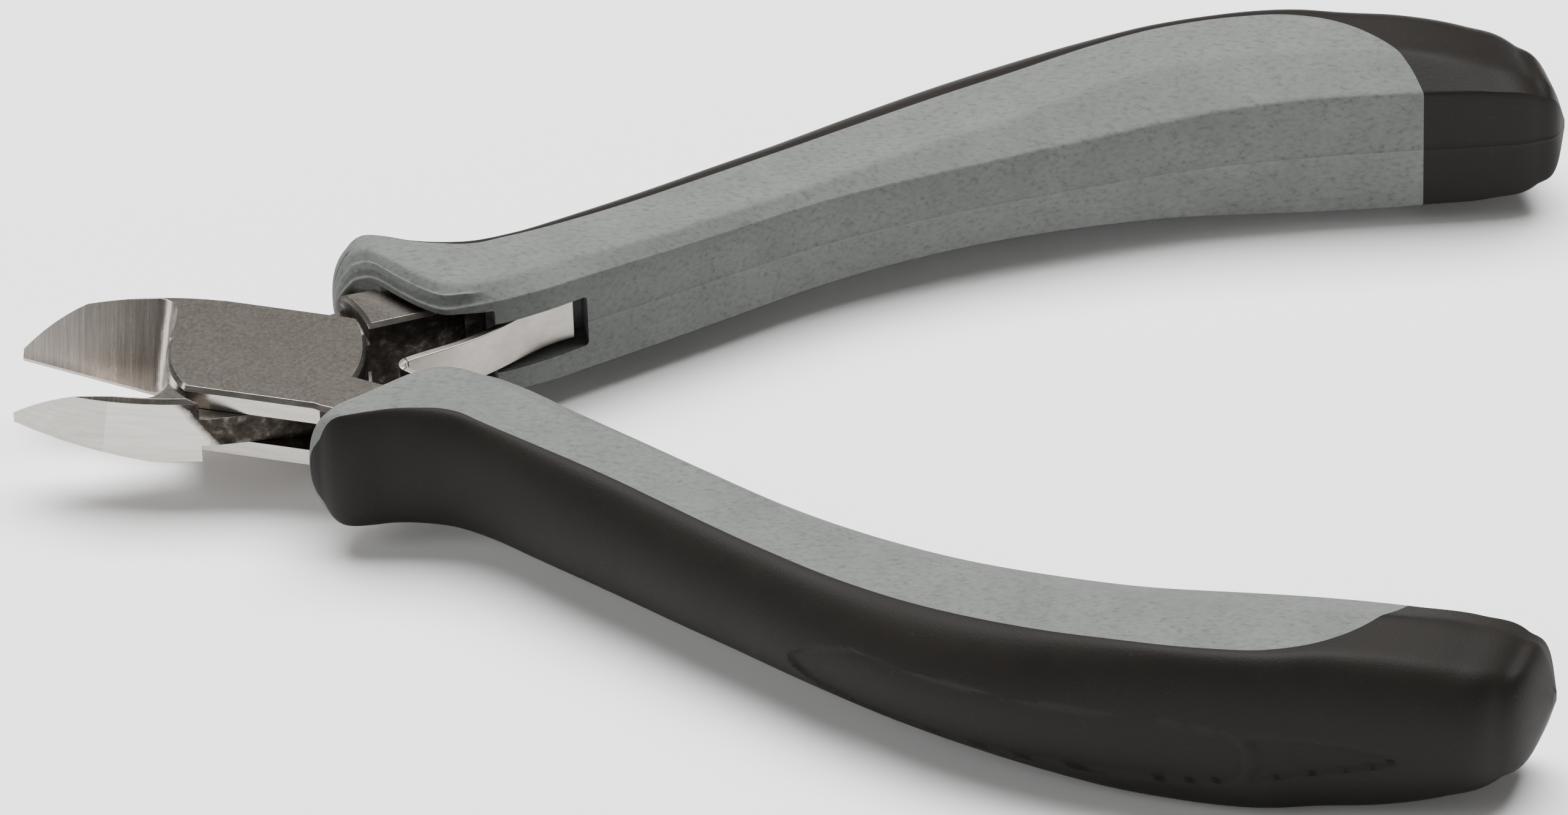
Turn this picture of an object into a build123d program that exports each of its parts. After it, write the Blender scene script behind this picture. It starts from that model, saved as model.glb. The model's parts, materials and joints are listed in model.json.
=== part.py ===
from build123d import *
import math
import os

# ---------------------------------------------------------------------------
# Flush cutter with a box joint, a two-leaf return spring and moulded grips.
# Millimetres.  The model is drawn about the pivot with the jaws towards -X,
# the grips towards +X and +Z up, and is moved at the end so that the origin
# is the centre of the bottom of its bounding box.  It is drawn fully open.
# ---------------------------------------------------------------------------

# Opening
HALF_OPEN = 10.5          # each lever turns this many degrees from closed

# Head and box joint
HEAD_T = 7.0              # full thickness of the head
TONGUE_T = 2.9            # middle layer, the tongue of the inner lever
LAYER_GAP = 0.05          # running gap between the tongue and each cheek
BAND_HALF = 6.05          # half width of the joint, closed frame
FRONT_R = 7.5             # rounded front end of cheeks and tongue
REAR_R = 9.4              # rounded rear end of cheeks and tongue
SWING_GAP = 0.5           # radial gap in front of the front ends
REAR_GAP = 0.5            # radial gap behind the rear ends
EDGE_CHAMFER = 0.35

# Rivet
RIVET_HEAD_R = 3.75
RIVET_SHANK_R = 2.6
RIVET_BORE_GAP = 0.04
RIVET_CONE_H = 1.2

# Jaws
TIP_X = -20.7             # tip of the jaws
TIP_HALF = 0.45           # width of each jaw at the tip
ROOT_BEVEL = 51.0         # slope of the bevel at its root
TIP_BEVEL = 60.0          # slope of the bevel at the tip
BEVEL_END_R = 2.0         # hollow curve in which the bevel runs out at its root
FLUSH_RISE = 2.2          # the flush side climbs this much to the tip
EDGE_LAND = 0.25          # height of the cutting edge above the flush side
MEET_GAP = 0.03           # half the gap between the closed cutting edges
JAW_ROOT_X = -7.5         # where the bevel and the climb of the flush side start
JAW_SHOULDER_X = -3.0     # where the curved outer wall runs into the side of the joint

# Grip frame: the grips are drawn along p, which lies at this angle to X
GRIP_ANGLE = 18.0
TANG_T = 5.0              # tang thickness inside the grip
TANG_STEP_P = 18.5        # where the tang steps down from the head thickness

# Spring
LEAF_T = 0.6
LEAF_W = 4.4
BEND_X = 13.0             # centre of the fold
BEND_R = 0.95             # outer radius of the fold
LEAF_ANGLE = 33.0         # direction of each leaf as it leaves the fold, open
FOLD_GAP = 0.03

# Grip stations along p: inner wall, inner edge of the flat top, outer edge of
# the flat top, bulge of the back beyond that, half thickness at the top, and
# half height of the inner wall
GRIP_STATIONS = [
    (18.0, -1.9, -0.6, 5.8, 1.3, 6.1, 5.1),
    (24.0, -1.2, 0.4, 5.8, 2.0, 6.0, 5.0),
    (31.0, 0.2, 1.8, 6.7, 3.6, 5.8, 4.9),
    (40.0, 2.3, 3.8, 8.8, 4.7, 5.5, 4.6),
    (50.0, 4.5, 6.0, 11.3, 5.1, 5.3, 4.4),
    (60.0, 5.5, 8.0, 13.5, 5.0, 5.4, 4.2),
    (70.0, 5.5, 9.3, 14.8, 4.4, 6.2, 4.3),
    (80.0, 5.0, 9.8, 15.2, 3.4, 7.3, 4.8),
    (90.0, 4.0, 8.8, 14.2, 3.2, 8.1, 5.7),
    (98.0, 2.5, 6.8, 12.0, 3.4, 8.2, 6.2),
    (104.0, 0.9, 4.8, 9.8, 3.2, 7.7, 6.0),
    (109.0, -0.3, 3.0, 7.6, 2.9, 6.7, 5.3),
    (112.8, -0.5, 1.8, 5.2, 2.4, 5.2, 4.1),
    (115.0, 0.0, 1.2, 3.3, 1.5, 3.4, 2.6),
    (115.9, 0.7, 1.3, 2.3, 0.8, 1.8, 1.3),
]
# The finger horn in front of the first station
HORN_STATIONS = [
    (8.0, 3.4, 3.8, 5.2, 1.0, 4.6, 4.2),
    (9.4, 4.8, 5.4, 7.4, 1.4, 5.8, 5.2),
    (11.2, 5.2, 5.8, 8.2, 1.7, 6.2, 5.4),
    (13.0, 3.4, 4.2, 7.8, 1.6, 6.2, 5.4),
    (15.4, 0.6, 1.6, 6.5, 1.4, 6.1, 5.2),
    (18.0, -1.9, -0.6, 5.8, 1.3, 6.1, 5.1),
]
# Line between the grey core and the black back, in the plan of the grip
SEAM_LINE = [
    (8.3, 4.9), (10.2, 7.3), (12.2, 7.7), (14.5, 6.8), (18.0, 5.8), (24.0, 5.8),
    (31.0, 6.7), (40.0, 8.8), (50.0, 11.3), (60.0, 13.5), (70.0, 14.8),
    (80.0, 15.2), (88.0, 14.5), (94.0, 12.9), (98.5, 10.6), (101.5, 7.4),
    (102.7, 4.0), (103.2, 0.4),
]
SLOT_START, SLOT_END = 20.4, 29.2
SLOT_HALF = 3.0
SLOT_FLOOR = 2.2
WINDOW_HALF = 4.4
WINDOW_TOP = 4.4


def block(x0, x1, y0, y1, z0, z1):
    size = (x1 - x0, y1 - y0, z1 - z0)
    centre = ((x0 + x1) / 2, (y0 + y1) / 2, (z0 + z1) / 2)
    return Pos(*centre) * Box(*size)


def prism(points, z0, z1):
    face = make_face(Polyline(*points, close=True))
    return Pos(0, 0, z0) * extrude(face, z1 - z0)


def disc(radius, z0, z1):
    return Pos(0, 0, (z0 + z1) / 2) * Cylinder(radius, z1 - z0)


def grip_to_closed(p, q):
    turn = math.radians(GRIP_ANGLE - HALF_OPEN)
    return (p * math.cos(turn) - q * math.sin(turn), p * math.sin(turn) + q * math.cos(turn))


# ---------------------------------------------------------------------------
# Levers, drawn closed, with the jaw on the +Y side and the tang on the -Y side
# ---------------------------------------------------------------------------

def jaw_plan():
    """Plan of the jaw, with its curved outer wall."""
    root_x = 1.0
    outline = [
        Line((root_x, MEET_GAP), (TIP_X, MEET_GAP)),
        Line((TIP_X, MEET_GAP), (TIP_X, TIP_HALF)),
        TangentArc((JAW_SHOULDER_X, BAND_HALF), (TIP_X, TIP_HALF), tangent=(-1, 0)),
        Line((JAW_SHOULDER_X, BAND_HALF), (root_x, BAND_HALF)),
        Line((root_x, BAND_HALF), (root_x, MEET_GAP)),
    ]
    return Sketch() + make_face(Wire(outline))


def tang_plan():
    """Plan of the tang from the joint to the step inside the grip."""
    inside = [(8.6, 0.2), (15.5, 0.5), (TANG_STEP_P, 2.0)]
    outside = [(TANG_STEP_P, 5.0), (8.1, 5.2)]
    points = [(6.8, BAND_HALF), (6.8, 1.2)] + [grip_to_closed(p, q) for p, q in inside + outside]
    return Sketch() + make_face(Polyline(*[(x, -y) for x, y in points], close=True))


def solid_plan():
    """Jaw and tang, clear of the rounded ends of the other lever."""
    front_swing = Circle(FRONT_R + SWING_GAP)
    rear_swing = Circle(REAR_R + REAR_GAP)
    return (jaw_plan() - front_swing) + (tang_plan() - rear_swing)


def joint_plan():
    """Layer that passes through the joint, from the jaw to the tang."""
    front = Circle(FRONT_R) & Pos(-FRONT_R / 2, 0) * Rectangle(FRONT_R, 2 * BAND_HALF)
    rear = Circle(REAR_R) & Pos(REAR_R / 2, 0) * Rectangle(REAR_R, 2 * BAND_HALF)
    return jaw_plan() + front + rear + tang_plan()


def slab(plan, z0, z1):
    return Pos(0, 0, z0) * extrude(plan, z1 - z0)


def tang_blade():
    """Thinner part of the tang, buried in the grip."""
    inside = [(TANG_STEP_P - 1, 2.2), (30.0, 2.8), (45.0, 6.4), (60.0, 9.2), (74.0, 10.6)]
    outside = [(74.0, 12.0), (60.0, 11.6), (45.0, 9.0), (30.0, 5.4), (TANG_STEP_P - 1, 4.8)]
    points = [grip_to_closed(p, q) for p, q in inside + outside]
    return prism([(x, -y) for x, y in points], -TANG_T / 2, TANG_T / 2)


def chamfer_level(shape, z):
    """Chamfer the edges at height z, apart from those where the jaws meet."""
    level = [e for e in shape.edges() if all(abs(v.Z - z) < 1e-6 for v in e.vertices())]
    outer = [e for e in level if max(abs(v.Y) for v in e.vertices()) > TIP_HALF + 0.01]
    return chamfer(outer, EDGE_CHAMFER)


def bevel_section(x, z, slope):
    reach = 12.0
    top = z + math.tan(math.radians(slope)) * reach
    return make_face(Polyline((x, -1, z), (x, 0, z), (x, reach, top), (x, -1, top), close=True))


def bevel_cutter():
    """Everything above the bevel, ahead of the flat of the head."""
    edge_z = -HEAD_T / 2 + EDGE_LAND
    rise = FLUSH_RISE / (JAW_ROOT_X - TIP_X)
    tip_x = TIP_X - 1
    root = bevel_section(JAW_ROOT_X, edge_z, ROOT_BEVEL)
    tip = bevel_section(tip_x, edge_z + rise * (JAW_ROOT_X - tip_x), TIP_BEVEL)
    cutter = loft([root, tip], ruled=True)
    ends = [e for e in cutter.edges() if all(abs(v.X - JAW_ROOT_X) < 1e-6 for v in e.vertices())]
    sloping = [e for e in ends if abs(e.tangent_at(0.5).Y) > 0.1 and abs(e.tangent_at(0.5).Z) > 0.1]
    return fillet(sloping, BEVEL_END_R)


def flush_wedge():
    """Wedge taken off the underside so that the flush side climbs to the tip."""
    half = HEAD_T / 2
    points = [
        (JAW_ROOT_X, -half - 1),
        (JAW_ROOT_X, -half),
        (TIP_X, -half + FLUSH_RISE),
        (TIP_X - 1, -half + FLUSH_RISE),
        (TIP_X - 1, -half - 1),
    ]
    face = make_face(Plane.XZ * Polyline(*points, close=True))
    return extrude(face, 8, both=True)


def mirror_y(shape):
    return mirror(shape, about=Plane.XZ)


def rivet_shape(shank_r):
    """Shank with a countersunk head at each end, flush with the cheeks."""
    half = HEAD_T / 2
    cone_z = half - RIVET_CONE_H / 2
    top = Pos(0, 0, cone_z) * Cone(RIVET_SHANK_R, RIVET_HEAD_R, RIVET_CONE_H)
    bottom = Pos(0, 0, -cone_z) * Cone(RIVET_HEAD_R, RIVET_SHANK_R, RIVET_CONE_H)
    return disc(shank_r, -half, half) + top + bottom


def outer_lever():
    half = HEAD_T / 2
    slot = TONGUE_T / 2 + LAYER_GAP
    top = chamfer_level(slab(joint_plan(), slot, half), half)
    bottom = chamfer_level(slab(joint_plan(), -half, -slot), -half)
    shape = top + slab(solid_plan(), -slot, slot) + bottom + tang_blade()
    return shape - bevel_cutter() - flush_wedge() - rivet_shape(RIVET_SHANK_R)


def inner_lever():
    half = HEAD_T / 2
    tongue = TONGUE_T / 2
    top = chamfer_level(slab(solid_plan(), tongue, half), half)
    bottom = chamfer_level(slab(solid_plan(), -half, -tongue), -half)
    shape = top + slab(joint_plan(), -tongue, tongue) + bottom + tang_blade()
    bore = disc(RIVET_SHANK_R + RIVET_BORE_GAP, -half, half)
    return mirror_y(shape - bevel_cutter() - flush_wedge() - bore)


# ---------------------------------------------------------------------------
# Grips, drawn in the grip frame, outer side towards +q
# ---------------------------------------------------------------------------

def grip_section(station):
    p, wall, inner, outer, bulge, half, wall_half = station
    corner = [(outer, half), (inner, half), (wall, wall_half)]
    lower = [(q, -z) for q, z in reversed(corner)]
    points = [(p, q, z) for q, z in corner + lower]
    edges = [Line(a, b) for a, b in zip(points, points[1:])]
    back = ThreePointArc(points[-1], (p, outer + bulge, 0), points[0])
    return make_face(Wire(edges + [back]))


def grip_blank():
    body = loft([grip_section(s) for s in GRIP_STATIONS])
    horn = loft([grip_section(s) for s in HORN_STATIONS], ruled=True)
    return body + horn


def seam_prism():
    """Plan region of the grey core, on the inner side of the seam line."""
    reach = -8.0
    seam = Spline(*SEAM_LINE)
    start, end = SEAM_LINE[0], SEAM_LINE[-1]
    edges = [
        seam,
        Line(end, (end[0], reach)),
        Line((end[0], reach), (start[0] - 4, reach)),
        Line((start[0] - 4, reach), (start[0] - 4, start[1])),
        Line((start[0] - 4, start[1]), start),
    ]
    face = make_face(Wire(edges))
    return Pos(0, 0, -12) * extrude(face, 24)


def grip_pieces():
    """Grey core and black back, with room for the lever, the head and the spring."""
    blank = grip_blank()
    region = seam_prism()
    window = block(6.0, SLOT_START, -8.0, WINDOW_TOP, -WINDOW_HALF, WINDOW_HALF)
    slot = block(SLOT_START - 1, SLOT_END, -8.0, SLOT_FLOOR, -SLOT_HALF, SLOT_HALF)
    head_room = HEAD_T / 2 + SWING_GAP
    swing = disc(REAR_R + REAR_GAP, -head_room, head_room)
    tang = slab(tang_plan(), -HEAD_T / 2, HEAD_T / 2) + tang_blade()
    lever = Rot(0, 0, HALF_OPEN - GRIP_ANGLE) * mirror_y(tang)
    core = (blank & region) - window - slot - swing - lever
    back = blank - region - swing - lever
    return core, back


# ---------------------------------------------------------------------------
# Return spring
# ---------------------------------------------------------------------------

def spring_fold():
    """The fold: an arc of leaf about its own centre, open towards the grips."""
    half = LEAF_W / 2
    ring = disc(BEND_R, -half, half) - disc(BEND_R - LEAF_T, -half, half)
    first = 90 + LEAF_ANGLE
    reach = 3.0
    left = (reach * math.cos(math.radians(first)), reach * math.sin(math.radians(first)))
    wedge = prism([(0, 0), left, (-reach * 2, reach), (-reach * 2, -reach), (left[0], -left[1])], -half, half)
    return Pos(BEND_X, 0, 0) * (ring & wedge)


def spring_leaf():
    """The +Y leaf, from the fold to its free end in the slot of the grip."""
    half = LEAF_W / 2
    angle = math.radians(LEAF_ANGLE)
    along = (math.cos(angle), math.sin(angle))
    normal = (-along[1], along[0])
    mid_r = BEND_R - LEAF_T / 2
    start = (BEND_X + normal[0] * mid_r + along[0] * FOLD_GAP, normal[1] * mid_r + along[1] * FOLD_GAP)
    path_points = [start, (16.3, 2.5), (19.7, 4.8), (23.0, 7.6), (26.0, 9.35)]
    path = Spline(*path_points, tangents=[along, (0.85, 0.35)])
    face = trace(path, line_width=LEAF_T)
    return Pos(0, 0, -half) * extrude(face, LEAF_W)


# ---------------------------------------------------------------------------
# Assembly, drawn open
# ---------------------------------------------------------------------------

def build_nodes():
    core, back = grip_pieces()
    far = Rot(0, 0, GRIP_ANGLE)
    leaf = spring_leaf()
    nodes = {
        "outer_lever": Rot(0, 0, -HALF_OPEN) * outer_lever(),
        "inner_lever": Rot(0, 0, HALF_OPEN) * inner_lever(),
        "joint_rivet": rivet_shape(RIVET_SHANK_R),
        "spring_fold": spring_fold(),
        "spring_leaf_inner": leaf,
        "spring_leaf_outer": mirror_y(leaf),
        "grip_core_inner": far * core,
        "grip_back_inner": far * back,
    }
    nodes["grip_core_outer"] = mirror_y(nodes["grip_core_inner"])
    nodes["grip_back_outer"] = mirror_y(nodes["grip_back_inner"])
    return nodes


def bottom_centre(shapes):
    """Centre of the bottom of the box round all the shapes."""
    boxes = [shape.bounding_box() for shape in shapes]
    low = [min(getattr(b.min, c) for b in boxes) for c in "XYZ"]
    high = [max(getattr(b.max, c) for b in boxes) for c in "XYZ"]
    print("size", [round(h - l, 3) for l, h in zip(low, high)])
    return ((low[0] + high[0]) / 2, (low[1] + high[1]) / 2, low[2])


os.makedirs("parts", exist_ok=True)
all_nodes = build_nodes()
origin = bottom_centre(all_nodes.values())
print("pivot", [round(-c, 4) for c in origin])
for name, shape in all_nodes.items():
    export_step(Pos(*(-c for c in origin)) * shape, f"parts/{name}.step")
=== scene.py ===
import json
import math

import bmesh
import bpy
import numpy as np
from mathutils import Matrix, Vector


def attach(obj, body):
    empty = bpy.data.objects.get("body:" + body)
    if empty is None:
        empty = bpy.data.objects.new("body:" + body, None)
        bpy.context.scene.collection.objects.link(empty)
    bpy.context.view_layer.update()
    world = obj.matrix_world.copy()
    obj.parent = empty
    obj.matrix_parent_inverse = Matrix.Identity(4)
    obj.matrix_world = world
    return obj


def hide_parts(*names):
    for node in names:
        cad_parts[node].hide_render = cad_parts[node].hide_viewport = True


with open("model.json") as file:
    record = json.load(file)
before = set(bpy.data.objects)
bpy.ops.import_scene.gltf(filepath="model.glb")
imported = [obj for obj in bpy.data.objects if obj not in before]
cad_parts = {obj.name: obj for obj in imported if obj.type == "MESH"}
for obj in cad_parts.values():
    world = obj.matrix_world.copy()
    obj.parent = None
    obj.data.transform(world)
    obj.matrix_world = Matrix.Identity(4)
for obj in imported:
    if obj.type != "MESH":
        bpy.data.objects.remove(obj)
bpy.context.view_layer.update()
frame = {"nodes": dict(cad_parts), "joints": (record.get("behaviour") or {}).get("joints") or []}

# ---------------------------------------------------------------------------
# Lengths are written in millimetres and turned into metres by MM.
# Each grip is drawn in its own frame: p runs along the grip from the pivot,
# q points to the outer side and z is up, with z = 0 on the parting plane.
# ---------------------------------------------------------------------------
MM = 0.001
HANDLE = next(j for j in frame["joints"] if j["name"] == "handle_pivot")
PIVOT = Vector(HANDLE["pos_m"])
GRIP_ANGLE = math.radians(18.0)


def collection_link(obj):
    bpy.context.scene.collection.objects.link(obj)
    return obj


# ---------------------------------------------------------------------------
# Curves through a few given points
# ---------------------------------------------------------------------------

def through(points):
    """A smooth function of the first coordinate through the given points."""
    x = np.array([a for a, b in points], float)
    y = np.array([b for a, b in points], float)
    slope = np.gradient(y, x)

    def value(at):
        i = int(np.clip(np.searchsorted(x, at) - 1, 0, len(x) - 2))
        width = x[i + 1] - x[i]
        t = float(np.clip((at - x[i]) / width, 0, 1))
        a = (1 + 2 * t) * (1 - t) ** 2 * y[i] + t * (1 - t) ** 2 * width * slope[i]
        b = t * t * (3 - 2 * t) * y[i + 1] - t * t * (1 - t) * width * slope[i + 1]
        return a + b

    return value


def ease(at, start, end):
    t = min(max((at - start) / (end - start), 0.0), 1.0)
    return t * t * (3 - 2 * t)


def lerp(a, b, t):
    return a + (b - a) * t


# ---------------------------------------------------------------------------
# Grip shell
# ---------------------------------------------------------------------------

NOSE_P = 8.35          # front of the finger horn
BODY_P = 9.9           # where the rounded nose meets the first full section
END_P = 115.8          # rear end of the grip
NOSE_REACH = 3.6       # how far behind the front the horn comes to its full height
NOSE_FIRST_TURN = 8    # degrees; a smaller first ring merges its own points and spoils the cuts
TURN_STEPS = 30        # points on each quarter of the rounded back
NOSE_Q = 7.4           # where the nose comes to its foremost point
STEP_P = 20.4          # where the head window gives way to the spring slot
SLOT_END_P = 28.7      # leaves the leaf's end clear with the jaws shut
WINDOW_HALF = 4.15     # half heights of the head window and of the spring slot
SLOT_HALF = 2.65
WINDOW_DEPTH_Q = 4.4   # how far outwards the window and the slot are sunk
SLOT_DEPTH_Q = 2.2
WINDOW_CORNER = 0.25
SLOT_CORNER = 0.4
OPEN_SIDE_Q = -9       # well past the inner side of the grip
CUT_HALF = 12          # half height of the upright cuts along the seam
MERGE = 0.004          # points of the skin closer than this are one point
GRIP_CREASE = 38       # degrees above which an edge of a grip is drawn sharp

# Inner wall at the parting plane
WALL = through([
    (BODY_P, 5.9), (11.6, 4.75), (13.25, 2.3), (14.8, 0.3), (15.95, -0.75), (17.9, -1.25),
    (20.4, -1.6), (24.5, -1.15), (29.0, -0.1), (35.0, 1.2), (41.3, 2.6), (50.0, 4.4), (62.0, 5.4),
    (74.4, 5.3), (83.8, 4.8), (95.6, 3.0), (103.4, 1.5), (109.0, 0.35), (112.8, -0.1), (115.0, 0.4),
    (END_P, 1.5),
])
# How far that wall leans outwards by the time it reaches the crease, and the height of the crease
LEAN = through([(BODY_P, 0), (30.0, 0), (45.0, 0.1), (60.0, 0.35), (74.0, 0.45), (86.0, 0.3), (104.0, 0), (END_P, 0)])
WALL_TOP = through([
    (BODY_P, 4.35), (16.0, 4.4), (18.0, 4.6), (20.4, 4.9), (24.0, 5.0), (31.0, 4.9), (40.0, 4.7),
    (50.0, 4.5), (60.0, 4.35),
    (66.0, 4.4), (74.0, 4.75), (80.5, 5.2), (89.0, 5.95), (97.0, 6.25), (104.0, 6.1), (109.0, 5.8),
    (112.8, 4.9), (115.0, 2.9), (END_P, 0.4),
])
# Inner and outer edges of the flat top, and its height
TOP_IN = through([
    (BODY_P, 7.7), (11.8, 6.3), (13.5, 4.0), (15.0, 1.9), (16.0, 1.0), (18.0, 0.0), (20.4, -0.1),
    (24.0, 0.6), (27.6, 1.4), (31.0, 1.8), (35.8, 2.7), (40.6, 3.8), (45.4, 4.9), (50.2, 6.0), (59.6, 8.0),
    (68.7, 9.1), (74.2, 9.7), (79.6, 9.9), (85.9, 9.6), (89.8, 8.8), (94.7, 7.75), (99.5, 6.4),
    (104.0, 4.9), (109.0, 3.1), (112.8, 2.0), (115.0, 1.5), (END_P, 1.6),
])
TOP_OUT = through([
    (BODY_P, 8.3), (10.8, 8.5), (12.0, 8.3), (13.5, 7.6), (15.0, 6.7), (16.8, 5.9), (19.8, 5.1), (24.0, 5.4),
    (27.3, 6.0), (33.3, 7.2), (38.1, 8.35), (42.9, 9.6), (47.8, 10.8), (57.3, 13.0), (66.4, 14.35),
    (75.2, 15.0), (79.5, 15.1), (83.6, 15.0), (87.7, 14.6), (91.6, 13.9), (95.4, 12.8), (98.8, 11.3),
    (104.0, 9.6), (109.0, 7.8), (112.8, 5.9), (115.0, 3.6), (END_P, 2.0),
])
TOP_Z = through([
    (BODY_P, 6.15), (14.0, 6.2), (20.6, 6.25), (24.0, 6.1), (29.5, 6.0), (36.3, 5.9), (50.0, 5.65),
    (57.0, 5.7), (63.9, 6.0), (70.6, 6.5), (77.3, 7.25), (82.0, 7.75), (87.7, 8.05), (94.0, 8.2),
    (100.0, 8.15), (104.0, 7.85), (109.0, 6.85), (112.8, 5.5), (115.0, 3.5), (END_P, 0.5),
])
# How far the back stands out beyond the flat top, at the parting plane
BULGE = through([
    (BODY_P, 1.4), (12.0, 1.6), (15.0, 1.5), (18.0, 1.9), (24.0, 2.4), (31.0, 3.2), (38.0, 3.5), (47.0, 3.75),
    (56.0, 4.1), (65.0, 4.5), (74.0, 4.3), (80.0, 3.7), (87.0, 3.2), (95.0, 3.28), (101.0, 3.5), (107.0, 3.6),
    (112.8, 3.2), (115.0, 2.0), (END_P, 0.3),
])
# The grip starts a little above the parting plane of the head and dips below it in the middle
DIP = through([
    (BODY_P, -0.4), (16.0, -0.3), (22.0, -0.1), (28.0, 0.15), (32.0, 0.25), (42.0, 0.42), (55.0, 0.5),
    (66.0, 0.45), (76.0, 0.3), (88.0, 0.1), (98.0, 0), (END_P, 0),
])
# Seam between the grey core and the black back, in plan
SEAM = [
    (7.9, 8.4), (8.6, 9.2), (9.3, 9.4), (10.5, 9.15), (12.0, 8.6), (13.8, 7.5), (15.6, 6.45), (17.4, 5.72),
    (19.1, 5.15), (20.6, 4.97), (22.8, 5.3), (26.2, 5.85), (29.5, 6.45), (33.0, 7.15), (36.3, 7.9),
    (39.8, 8.8), (50.1, 11.4), (57.0, 12.95), (63.9, 14.1), (70.6, 14.75), (77.3, 15.15), (83.6, 15.0),
    (90.0, 14.15), (94.6, 12.9), (98.4, 10.6), (101.0, 7.6), (102.6, 4.2), (103.3, 0.5),
]
# Plain sunk panel on the back of one grip: its ends, centre height, half height and depth
PANEL_P = (54.5, 106.0)
PANEL_Z = -1.0
PANEL_HALF = 3.5
PANEL_DEPTH = 0.35
PANEL_DIVIDER_P = 94.5


def rounded(points, radii, steps):
    """Replaces each inner corner of a path by a short curve of the same number of points."""
    path = [points[0]]
    for before, corner, after, radius in zip(points, points[1:], points[2:], radii):
        into = before - corner
        out = after - corner
        start = corner + into * min(0.45, radius / max(into.length, 1e-6))
        end = corner + out * min(0.45, radius / max(out.length, 1e-6))
        for k in range(steps):
            t = k / (steps - 1)
            path.append(start * (1 - t) ** 2 + corner * 2 * t * (1 - t) + end * t * t)
    path.append(points[-1])
    return path


def spread(a, b, count):
    return [a.lerp(b, k / count) for k in range(1, count)]


def upper_half(p):
    """Points (q, z) from the inner wall over the top to the back, at station p."""
    wall = WALL(p)
    lean = LEAN(p)
    wall_top = WALL_TOP(p)
    top_in = TOP_IN(p)
    top_out = TOP_OUT(p)
    top = TOP_Z(p)
    end = ease(p, 103, 113)
    foot = Vector((wall + lean, wall_top))
    crest = Vector((top_in, top))
    # A steep band runs along the edge of the head window, up to a fine valley, and dies out at the slot
    band = 1 - ease(p, STEP_P - 3.0, STEP_P)
    width = lerp(1.0, 0.6, ease(p, 14, 18))
    lip = Vector((wall + 0.2, wall_top + 0.05)).lerp(foot.lerp(crest, 0.12), 1 - band)
    groove = Vector((wall + 0.3, wall_top + 0.2)).lerp(foot.lerp(crest, 0.2), 1 - band)
    shelf = Vector((wall + 0.45, wall_top + 0.6)).lerp(foot.lerp(crest, 0.3), 1 - band)
    brow = Vector((wall + width - 0.15, wall_top + 1.15)).lerp(foot.lerp(crest, 0.5), 1 - band)
    valley = Vector((wall + width, wall_top + 1.08)).lerp(foot.lerp(crest, 0.62), 1 - band)
    corners = [Vector((wall, 0.08)), foot, lip, groove, shelf, brow, valley, crest, Vector((top_out, top))]
    radii = [lerp(0.3, 1.6, end), 0.12, 0.1, 0.1, 0.12, 0.18, lerp(0.45, 2.2, end)]
    path = rounded(corners, radii, 4)
    bulge = BULGE(p)
    fullness = lerp(1.0, 0.9, ease(p, 86, 98))
    shoulder = path.pop()
    turn = []
    for k in range(1, TURN_STEPS + 1):
        t = math.radians(90 * k / TURN_STEPS)
        turn.append(Vector((top_out + bulge * math.sin(t) ** fullness, top * math.cos(t) ** fullness)))
    edge = shoulder - (shoulder - path[-1]).normalized() * 0.5
    flat = spread(path[-1], edge, 8)
    path = [Vector((wall - 0.035, 0))] + path[:1] + spread(path[0], path[1], 8) + path[1:]
    return path + flat + [edge.lerp(shoulder, 0.3)] + turn


def nose_half(p):
    """The same points in the rounded nose of the horn, in front of the first full section."""
    full = upper_half(BODY_P)
    along = (p - NOSE_P) / (BODY_P - NOSE_P)
    spread_out = math.sqrt(max(0.0, 1 - (1 - along) ** 3))
    return [Vector((NOSE_Q + (v.x - NOSE_Q) * spread_out, v.y)) for v in full]


def nose_height(p):
    """Share of the full height that the rounded front of the horn has at station p."""
    return math.sqrt(max(0.0, 1 - (1 - min(1.0, (p - NOSE_P) / NOSE_REACH)) ** 2))


def stations(step):
    nose = [NOSE_P + (BODY_P - NOSE_P) * (1 - math.cos(math.radians(a))) for a in range(NOSE_FIRST_TURN, 90, 4)]
    body = list(np.arange(BODY_P, 108.0, step))
    tail = [108.0 + (END_P - 108.0) * math.sin(math.radians(a)) for a in range(0, 90, 3)]
    return nose + body + tail


def panel_depth(p, z):
    """How deep the sunk panel is at a point of the back; its divider is a crescent left standing."""
    start, end = PANEL_P
    along = (p - start) / (end - start)
    if not 0 < along < 1:
        return 0.0
    rise = z - PANEL_Z
    half = PANEL_HALF * min(1.0, math.sqrt(along * 9)) * min(1.0, (1 - along) * 2.6) ** 0.6
    inside = ease(half - abs(rise), 0.0, 0.4)
    bow = PANEL_DIVIDER_P - 0.16 * rise * rise
    crescent = 1 - ease(abs(p - bow), 0.45, 0.8)
    return PANEL_DEPTH * inside * (1 - crescent)


def grip_rings(step, panel):
    rings = []
    for p in stations(step):
        half = nose_half(p) if p < BODY_P else upper_half(p)
        lower = [Vector((v.x, -v.y)) for v in reversed(half[1:-1])]
        ring = half + lower
        if panel:
            top_out = TOP_OUT(p)
            ring = [Vector((v.x - panel_depth(p, v.y), v.y)) if v.x > top_out else v for v in ring]
        dip = DIP(p)
        height = nose_height(p)
        rings.append([Vector((p, v.x, v.y * height - dip)) for v in ring])
    return rings


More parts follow.
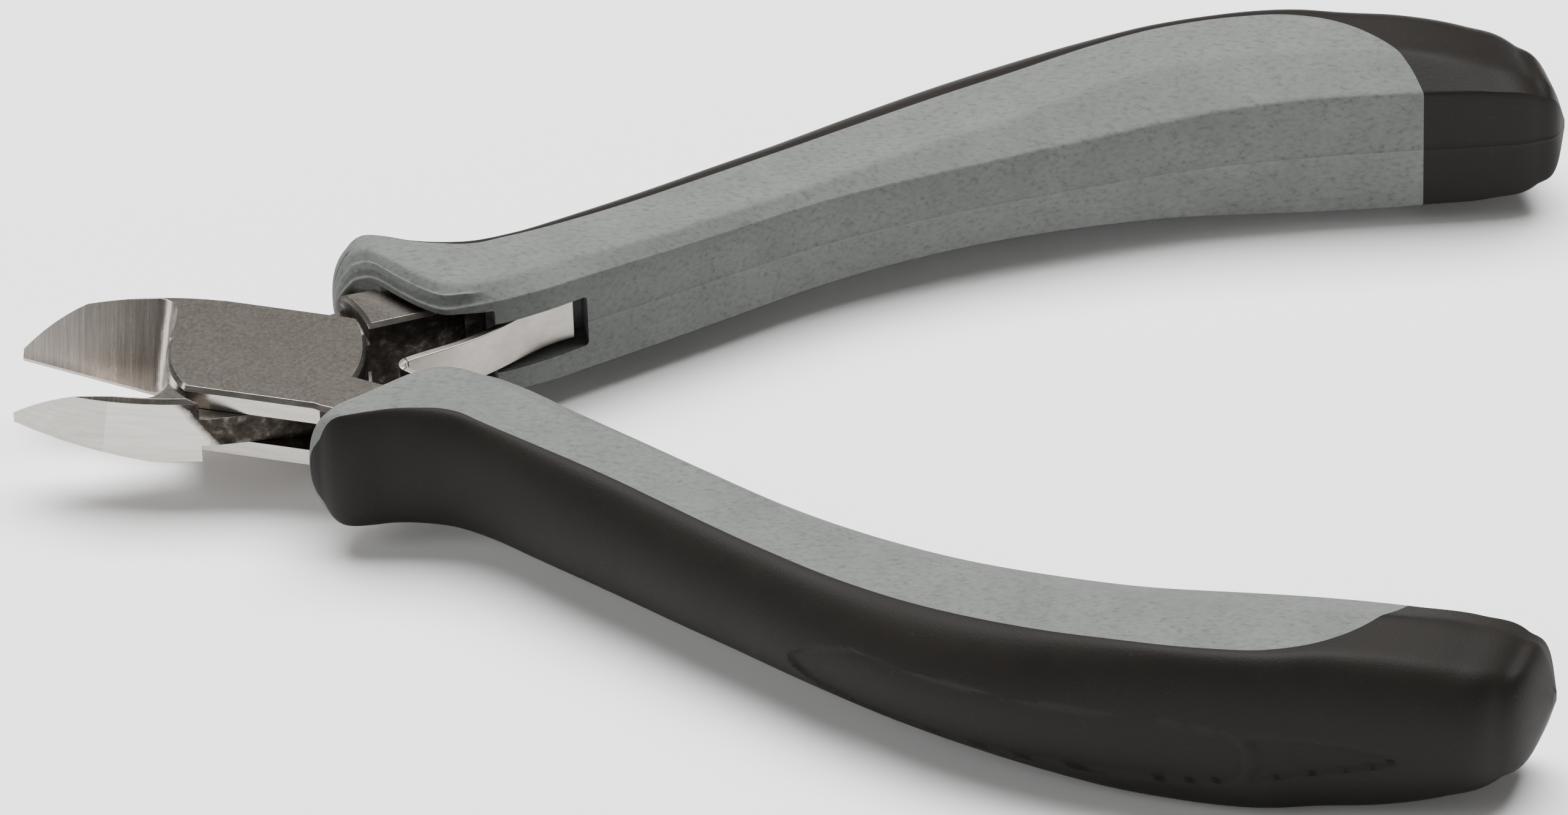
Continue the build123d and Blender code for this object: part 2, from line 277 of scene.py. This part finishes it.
def skin_rings(rings):
    """Closed bmesh over equal rings, with a fan at each end."""
    bm = bmesh.new()
    grid = [[bm.verts.new(v) for v in ring] for ring in rings]
    count = len(grid[0])
    for near, far in zip(grid, grid[1:]):
        for k in range(count):
            j = (k + 1) % count
            bm.faces.new((near[k], near[j], far[j], far[k]))
    for ring, flip in ((grid[0], True), (grid[-1], False)):
        centre = bm.verts.new(sum((v.co for v in ring), Vector()) / count)
        for k in range(count):
            j = (k + 1) % count
            corners = (ring[j], ring[k], centre) if flip else (ring[k], ring[j], centre)
            bm.faces.new(corners)
    bmesh.ops.remove_doubles(bm, verts=bm.verts, dist=MERGE)
    bmesh.ops.recalc_face_normals(bm, faces=bm.faces)
    return bm


def mesh_object(name, bm):
    mesh = bpy.data.meshes.new(name)
    bm.to_mesh(mesh)
    bm.free()
    return collection_link(bpy.data.objects.new(name, mesh))


def prism(outline, z0, z1, name="cutter"):
    """Closed upright prism over a plan outline."""
    bm = bmesh.new()
    lower = [bm.verts.new((x, y, z0)) for x, y in outline]
    upper = [bm.verts.new((x, y, z1)) for x, y in outline]
    bm.faces.new(lower)
    bm.faces.new(upper)
    for k in range(len(outline)):
        j = (k + 1) % len(outline)
        bm.faces.new((lower[k], lower[j], upper[j], upper[k]))
    bmesh.ops.recalc_face_normals(bm, faces=bm.faces)
    return mesh_object(name, bm)


def boolean(target, cutter, operation):
    """Applies the boolean, deletes the cutter and stops the script if the cut leaves nothing."""
    modifier = target.modifiers.new("cut", "BOOLEAN")
    modifier.operation = operation
    modifier.solver = "EXACT"
    modifier.object = cutter
    apply_modifiers(target)
    bpy.data.objects.remove(cutter)
    if not target.data.polygons:
        raise RuntimeError(f"{target.name}: the cut left nothing")


def apply_modifiers(obj):
    bpy.context.view_layer.update()
    graph = bpy.context.evaluated_depsgraph_get()
    mesh = bpy.data.meshes.new_from_object(obj.evaluated_get(graph))
    obj.modifiers.clear()
    obj.data = mesh


def seam_outline():
    """Plan region of the grey core, bounded by a smooth curve through the seam points."""
    reach = np.cumsum([0] + [math.dist(a, b) for a, b in zip(SEAM, SEAM[1:])])
    along = through([(r, p) for r, (p, q) in zip(reach, SEAM)])
    across = through([(r, q) for r, (p, q) in zip(reach, SEAM)])
    curve = [(along(r), across(r)) for r in np.linspace(0, reach[-1], 260)]
    return [(3.0, 5.2)] + curve + [(103.3, -10.0), (3.0, -10.0)]


def circle_outline(radius, count=128):
    return [(radius * math.cos(2 * math.pi * k / count), radius * math.sin(2 * math.pi * k / count))
            for k in range(count)]


def rounded_box(p0, p1, q0, q1, z_half, radius):
    """Upright-walled pocket cutter whose corners, seen along q, are rounded."""
    bm = bmesh.new()
    ring = []
    for cx, cz, start in ((p1 - radius, z_half - radius, 0), (p0 + radius, z_half - radius, 90),
                          (p0 + radius, -z_half + radius, 180), (p1 - radius, -z_half + radius, 270)):
        for k in range(6):
            a = math.radians(start + 90 * k / 5)
            ring.append((cx + radius * math.cos(a), cz + radius * math.sin(a)))
    near = [bm.verts.new((x, q0, z)) for x, z in ring]
    far = [bm.verts.new((x, q1, z)) for x, z in ring]
    bm.faces.new(near)
    bm.faces.new(far)
    for k in range(len(ring)):
        j = (k + 1) % len(ring)
        bm.faces.new((near[k], near[j], far[j], far[k]))
    bmesh.ops.recalc_face_normals(bm, faces=bm.faces)
    return mesh_object("cutter", bm)


def place_grip(obj, side):
    """Moves a grip piece from millimetres in the grip frame to its place on the tool."""
    turn = Matrix.Rotation(GRIP_ANGLE, 4, "Z")
    flip = Matrix.Diagonal((1, side, 1, 1))
    place = Matrix.Translation(PIVOT) @ Matrix.Diagonal((MM, MM, MM, 1)) @ flip @ turn
    obj.data.transform(place)
    if side < 0:
        obj.data.flip_normals()


def finish_mesh(obj, angle):
    mesh = obj.data
    bm = bmesh.new()
    bm.from_mesh(mesh)
    bmesh.ops.dissolve_degenerate(bm, dist=1e-7, edges=bm.edges)
    bm.to_mesh(mesh)
    bm.free()
    mesh.shade_smooth()
    mesh.set_sharp_from_angle(angle=math.radians(angle))


# ---------------------------------------------------------------------------
# Materials
# ---------------------------------------------------------------------------

class Graph:
    """Small helper that adds shader nodes and links them."""

    def __init__(self, name):
        self.material = bpy.data.materials.new(name)
        self.material.use_nodes = True
        self.tree = self.material.node_tree
        self.shader = self.tree.nodes["Principled BSDF"]

    def node(self, kind, inputs=None, **settings):
        made = self.tree.nodes.new(kind)
        for key, value in settings.items():
            setattr(made, key, value)
        for key, value in (inputs or {}).items():
            if isinstance(value, bpy.types.NodeSocket):
                self.tree.links.new(value, made.inputs[key])
            else:
                made.inputs[key].default_value = value
        return made

    def coordinates(self, scale, angle=0.0):
        coords = self.node("ShaderNodeTexCoord")
        mapping = self.node("ShaderNodeMapping", {
            "Vector": coords.outputs["Object"],
            "Scale": scale,
            "Rotation": (0, 0, angle),
        })
        return mapping.outputs["Vector"]

    def noise(self, vector, scale, detail=4.0, rough=0.5):
        made = self.node("ShaderNodeTexNoise", {
            "Vector": vector, "Scale": scale, "Detail": detail, "Roughness": rough,
        })
        return made.outputs["Fac"]

    def ramp(self, value, stops):
        made = self.node("ShaderNodeValToRGB", {"Fac": value})
        ramp = made.color_ramp
        while len(ramp.elements) < len(stops):
            ramp.elements.new(0.5)
        for element, (place, colour) in zip(ramp.elements, stops):
            element.position = place
            element.color = (*colour, 1)
        return made.outputs["Color"]

    def span(self, value, low, high, start=0.3, end=0.7):
        made = self.node("ShaderNodeMapRange", {
            "Value": value, "From Min": start, "From Max": end, "To Min": low, "To Max": high,
        })
        return made.outputs["Result"]

    def mix(self, fac, a, b, mode="MIX"):
        made = self.node("ShaderNodeMix", data_type="RGBA", blend_type=mode)
        for socket, value in ((made.inputs[0], fac), (made.inputs[6], a), (made.inputs[7], b)):
            if isinstance(value, bpy.types.NodeSocket):
                self.tree.links.new(value, socket)
            elif isinstance(value, tuple):
                socket.default_value = (*value, 1)
            else:
                socket.default_value = value
        return made.outputs[2]

    def bump(self, height, distance, strength=1.0, normal=None):
        inputs = {"Height": height, "Distance": distance, "Strength": strength}
        if normal is not None:
            inputs["Normal"] = normal
        return self.node("ShaderNodeBump", inputs).outputs["Normal"]

    def set(self, **values):
        for key, value in values.items():
            socket = self.shader.inputs[key.replace("_", " ")]
            if isinstance(value, bpy.types.NodeSocket):
                self.tree.links.new(value, socket)
            else:
                socket.default_value = value
        return self.material


def grey_rubber():
    g = Graph("grey_rubber")
    flecks = g.noise(g.coordinates((1.0, 2.2, 1.6), 0.4), 1500.0, 6.0, 0.62)
    clouds = g.noise(g.coordinates((1, 1, 1)), 220.0, 4.0, 0.55)
    grain = g.noise(g.coordinates((1, 1, 1)), 9000.0, 3.0, 0.6)
    base = g.ramp(flecks, [
        (0.32, (0.080, 0.086, 0.083)), (0.44, (0.112, 0.119, 0.114)), (0.60, (0.132, 0.138, 0.132)),
    ])
    tone = g.mix(g.span(clouds, 0.0, 1.0), (0.90, 0.90, 0.90), (1.06, 1.06, 1.05))
    fine = g.bump(grain, 0.00003)
    return g.set(
        Base_Color=g.mix(1.0, base, tone, "MULTIPLY"),
        Roughness=g.span(flecks, 0.62, 0.74),
        Specular_IOR_Level=0.2,
        Normal=g.bump(flecks, 0.00002, normal=fine),
    )


def black_rubber():
    g = Graph("black_moulding")
    clouds = g.noise(g.coordinates((1, 1, 1)), 140.0, 4.0, 0.55)
    specks = g.noise(g.coordinates((1, 1, 1)), 2600.0, 3.0, 0.5)
    grain = g.noise(g.coordinates((1, 1, 1)), 5200.0, 4.0, 0.6)
    base = g.ramp(clouds, [(0.3, (0.0075, 0.0062, 0.0052)), (0.7, (0.0110, 0.0093, 0.0078))])
    dusty = g.mix(g.span(specks, 0.0, 0.35, 0.66, 0.78), base, (0.03, 0.027, 0.024))
    return g.set(
        Base_Color=dusty,
        Roughness=g.span(clouds, 0.50, 0.60),
        Specular_IOR_Level=0.12,
        Normal=g.bump(grain, 0.00003),
    )


def steel(name, colour, rough, marks, depth, scale, spread_of_tone=0.15):
    """Ground steel whose marks run along the axis that marks leaves short."""
    g = Graph(name)
    lines = g.noise(g.coordinates(marks), scale, 5.0, 0.65)
    clouds = g.noise(g.coordinates((1, 1, 1)), 260.0, 3.0, 0.55)
    light = tuple(min(1.0, c * (1 + spread_of_tone)) for c in colour)
    dark = tuple(c * (1 - spread_of_tone) for c in colour)
    return g.set(
        Base_Color=g.mix(g.span(lines, 0.0, 1.0), dark, light),
        Metallic=1.0,
        Roughness=g.mix(g.span(clouds, 0.0, spread_of_tone), g.span(lines, rough * 0.9, rough * 1.1),
                        (rough * 1.5,) * 3),
        Normal=g.bump(lines, depth),
    )


def joint_steel_painted_shade():
    """Side of the joint: ground bright on the jaw; from the joint backwards a painted shade, dark with a scaly noise,
    for the shade in the joint's crevice.
    """
    g = Graph("joint_steel_painted_shade")
    scale = g.noise(g.coordinates((1, 1, 1)), 900.0, 6.0, 0.65)
    marks = g.noise(g.coordinates((0.12, 1, 1.6)), 1500.0, 5.0, 0.65)
    axes = g.node("ShaderNodeSeparateXYZ", {"Vector": g.coordinates((1, 1, 1))})
    tilt = g.node("ShaderNodeMath", {0: axes.outputs["Z"], 1: 0.65, 2: axes.outputs["X"]}, operation="MULTIPLY_ADD")
    frayed = g.node("ShaderNodeMath", {0: scale, 1: 0.0012, 2: tilt.outputs[0]}, operation="MULTIPLY_ADD")
    # Mask of the painted shade: 0 on the jaw, 1 from a tilted line a little in front of the pivot backwards, its edge
    # frayed by the scale noise
    start = PIVOT.x - 3.85 * MM + 0.65 * PIVOT.z + 0.2 * MM
    dark = g.node("ShaderNodeMapRange", {
        "Value": frayed.outputs[0], "From Min": start, "From Max": start + 0.8 * MM, "To Min": 0.0, "To Max": 1.0,
    }).outputs["Result"]
    # Painted shade colour: a near-black ramp over the scale noise, with a few lighter spots
    crevice_shade_colour = g.ramp(scale, [(0.32, (0.016, 0.013, 0.011)), (0.55, (0.038, 0.032, 0.027)), (0.74, (0.13, 0.12, 0.105))])
    ground = g.mix(g.span(marks, 0.0, 1.0), (0.38, 0.36, 0.33), (0.48, 0.455, 0.42))
    return g.set(
        Base_Color=g.mix(dark, ground, crevice_shade_colour),
        Metallic=1.0,
        Roughness=g.mix(dark, (0.27,) * 3, g.span(scale, 0.60, 0.42)),
        Normal=g.bump(scale, 0.00003),
    )


def floor_material():
    g = Graph("pale_floor")
    return g.set(Base_Color=(0.96, 0.96, 0.96, 1), Roughness=0.9, Specular_IOR_Level=0.0)


# ---------------------------------------------------------------------------
# Grips
# ---------------------------------------------------------------------------

HEAD_SWING_R = 9.8     # room for the rear ends of the head inside the grip
HEAD_SWING_HALF = 3.75


def grip_shell(name, step, panel=False):
    return mesh_object(name, skin_rings(grip_rings(step, panel)))


def head_swing():
    return prism(circle_outline(HEAD_SWING_R), -HEAD_SWING_HALF, HEAD_SWING_HALF)


def make_grip(side, body, suffix, panel):
    core = grip_shell(f"grip_core_{suffix}_soft", 0.5)
    boolean(core, prism(seam_outline(), -CUT_HALF, CUT_HALF), "INTERSECT")
    window = rounded_box(BODY_P - 0.1, STEP_P, OPEN_SIDE_Q, WINDOW_DEPTH_Q, WINDOW_HALF, WINDOW_CORNER)
    boolean(core, window, "DIFFERENCE")
    slot_cut = rounded_box(STEP_P - 1, SLOT_END_P, OPEN_SIDE_Q, SLOT_DEPTH_Q, SLOT_HALF, SLOT_CORNER)
    boolean(core, slot_cut, "DIFFERENCE")
    boolean(core, head_swing(), "DIFFERENCE")
    back = grip_shell(f"grip_back_{suffix}_moulding", 0.35, panel)
    boolean(back, prism(seam_outline(), -CUT_HALF, CUT_HALF), "DIFFERENCE")
    boolean(back, head_swing(), "DIFFERENCE")
    for piece, node, slot, material in (
        (core, f"grip_core_{suffix}", "grip_grey", GREY),
        (back, f"grip_back_{suffix}", "grip_black", BLACK),
    ):
        place_grip(piece, side)
        finish_mesh(piece, GRIP_CREASE)
        piece.data.materials.clear()
        piece.data.materials.append(material)
        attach(piece, body)
        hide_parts(node)


# ---------------------------------------------------------------------------
# Metal parts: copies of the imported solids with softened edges
# ---------------------------------------------------------------------------

RIVET_CLEAR = 4.2 * MM        # edges this near the pivot axis stay crisp
# The last of these finishes is a painted shade for the faces inside the joint and the tang's inner sides
PLATE, WALL_FACE, JAW_BEVEL, JOINT_PAINTED_SHADE = range(4)


def mark_edges(bm):
    """Gives every sharp edge away from the rivet a bevel weight and keeps the others crisp."""
    weight = bm.edges.layers.float.new("bevel_weight_edge")
    for edge in bm.edges:
        sharp = len(edge.link_faces) == 2 and edge.calc_face_angle(0) > math.radians(32)
        off_axis = min((v.co - PIVOT).xy.length for v in edge.verts)
        soft = sharp and off_axis > RIVET_CLEAR
        edge[weight] = 1.0 if soft else 0.0
        edge.smooth = soft or not sharp


def metal_copy(node, name, body, materials, choose, bevel):
    source = frame["nodes"][node]
    bm = bmesh.new()
    bm.from_mesh(source.data)
    bmesh.ops.remove_doubles(bm, verts=bm.verts, dist=1e-7)
    bmesh.ops.dissolve_limit(bm, angle_limit=math.radians(0.6), verts=bm.verts, edges=bm.edges)
    bmesh.ops.recalc_face_normals(bm, faces=bm.faces)
    for face in bm.faces:
        face.material_index = choose(face)
        face.smooth = True
    mark_edges(bm)
    piece = mesh_object(name, bm)
    for material in materials:
        piece.data.materials.append(material)
    softened = piece.modifiers.new("edges", "BEVEL")
    softened.width = bevel * MM
    softened.segments = 3
    softened.limit_method = "WEIGHT"
    softened.use_clamp_overlap = True
    shading = piece.modifiers.new("flat_faces", "WEIGHTED_NORMAL")
    shading.mode = "FACE_AREA"
    shading.weight = 50
    shading.keep_sharp = True
    apply_modifiers(piece)
    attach(piece, body)
    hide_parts(node)
    return piece


def lever_face(face):
    """Which of the lever's finishes a face has; the faces inside the joint and the tang's inner sides get the painted
    shade.
    """
    up = face.normal.z
    centre = face.calc_center_median() - PIVOT
    if abs(up) > 0.97:
        return PLATE
    if 0.3 < up < 0.85 and centre.x < -7 * MM:
        return JAW_BEVEL
    # Faces in the joint's crevice and the tang's inner sides: painted shade, not a finish of the steel
    in_joint = abs(centre.z) < 1.6 * MM and centre.x > -12 * MM
    if in_joint or (centre.x > 6 * MM and abs(up) < 0.3):
        return JOINT_PAINTED_SHADE
    return WALL_FACE


def make_metal():
    plate = steel("lever_plate", (0.34, 0.31, 0.28), 0.22, (1, 1, 1), 0.000002, 3800.0, 0.05)
    wall = steel("lever_wall", (0.36, 0.34, 0.315), 0.26, (0.12, 1, 1.6), 0.00001, 1500.0)
    bevel = steel("jaw_bevel", (0.40, 0.365, 0.33), 0.25, (2.2, 0.07, 0.07), 0.00002, 1900.0)
    spring = steel("spring_strip", (0.30, 0.28, 0.255), 0.32, (0.5, 1, 1), 0.00001, 700.0)
    levers = [plate, wall, bevel, joint_steel_painted_shade()]
    metal_copy("outer_lever", "outer_lever_steel", "outer_half", levers, lever_face, 0.10)
    metal_copy("inner_lever", "inner_lever_steel", "inner_half", levers, lever_face, 0.10)
    metal_copy("joint_rivet", "joint_rivet_steel", "outer_half", [plate], lambda face: 0, 0.05)
    metal_copy("spring_fold", "spring_fold_strip", "fold", [spring], lambda face: 0, 0.06)
    metal_copy("spring_leaf_inner", "spring_leaf_inner_strip", "leaf_inner", [spring],
               lambda face: 0, 0.08)
    metal_copy("spring_leaf_outer", "spring_leaf_outer_strip", "leaf_outer", [spring],
               lambda face: 0, 0.08)


# ---------------------------------------------------------------------------
# Camera, floor and light
# ---------------------------------------------------------------------------

def make_camera():
    azimuth = math.radians(4.75)
    elevation = math.radians(40.0)
    roll = math.radians(2.16)
    distance = 1.0
    target = PIVOT + Vector((44.63, -2.34, 0)) * MM
    back = Vector((math.sin(azimuth) * math.cos(elevation), -math.cos(azimuth) * math.cos(elevation),
                   math.sin(elevation)))
    right = Vector((math.cos(azimuth), math.sin(azimuth), 0))
    up = back.cross(right)
    across = right * math.cos(roll) - up * math.sin(roll)
    above = right * math.sin(roll) + up * math.cos(roll)
    data = bpy.data.cameras.new("camera")
    data.sensor_width = 36.0
    data.lens = 273.6
    data.clip_start = 0.05
    data.clip_end = 20.0
    camera = collection_link(bpy.data.objects.new("camera", data))
    camera.matrix_world = Matrix((across, above, back)).transposed().to_4x4()
    camera.location = target + back * distance
    bpy.context.scene.camera = camera


def area_light(name, place, size, power, aim=(0, 0, 0), colour=(1, 1, 1)):
    data = bpy.data.lights.new(name, "AREA")
    data.shape = "RECTANGLE"
    data.size, data.size_y = size
    data.energy = power
    data.color = colour
    light = collection_link(bpy.data.objects.new(name, data))
    light.location = place
    light.rotation_euler = (Vector(aim) - Vector(place)).to_track_quat("-Z", "Y").to_euler()


def make_stage():
    bm = bmesh.new()
    bmesh.ops.create_grid(bm, x_segments=1, y_segments=1, size=4.0)
    floor = mesh_object("floor", bm)
    floor.data.materials.append(floor_material())
    world = bpy.data.worlds.new("studio")
    world.use_nodes = True
    world.node_tree.nodes["Background"].inputs["Color"].default_value = (1.0, 0.96, 0.92, 1)
    world.node_tree.nodes["Background"].inputs["Strength"].default_value = 0.12
    bpy.context.scene.world = world
    area_light("overhead", (0.0, 0.3, 0.95), (1.1, 0.6), 34.0)
    area_light("left_strip", (-0.9, -0.3, 0.45), (0.3, 0.8), 3.0)
    area_light("front_fill", (0.1, -1.1, 0.35), (1.2, 0.3), 2.5)


GREY = grey_rubber()
BLACK = black_rubber()
make_camera()
make_stage()
make_metal()
make_grip(-1, "outer_half", "outer", panel=True)
make_grip(1, "inner_half", "inner", panel=False)
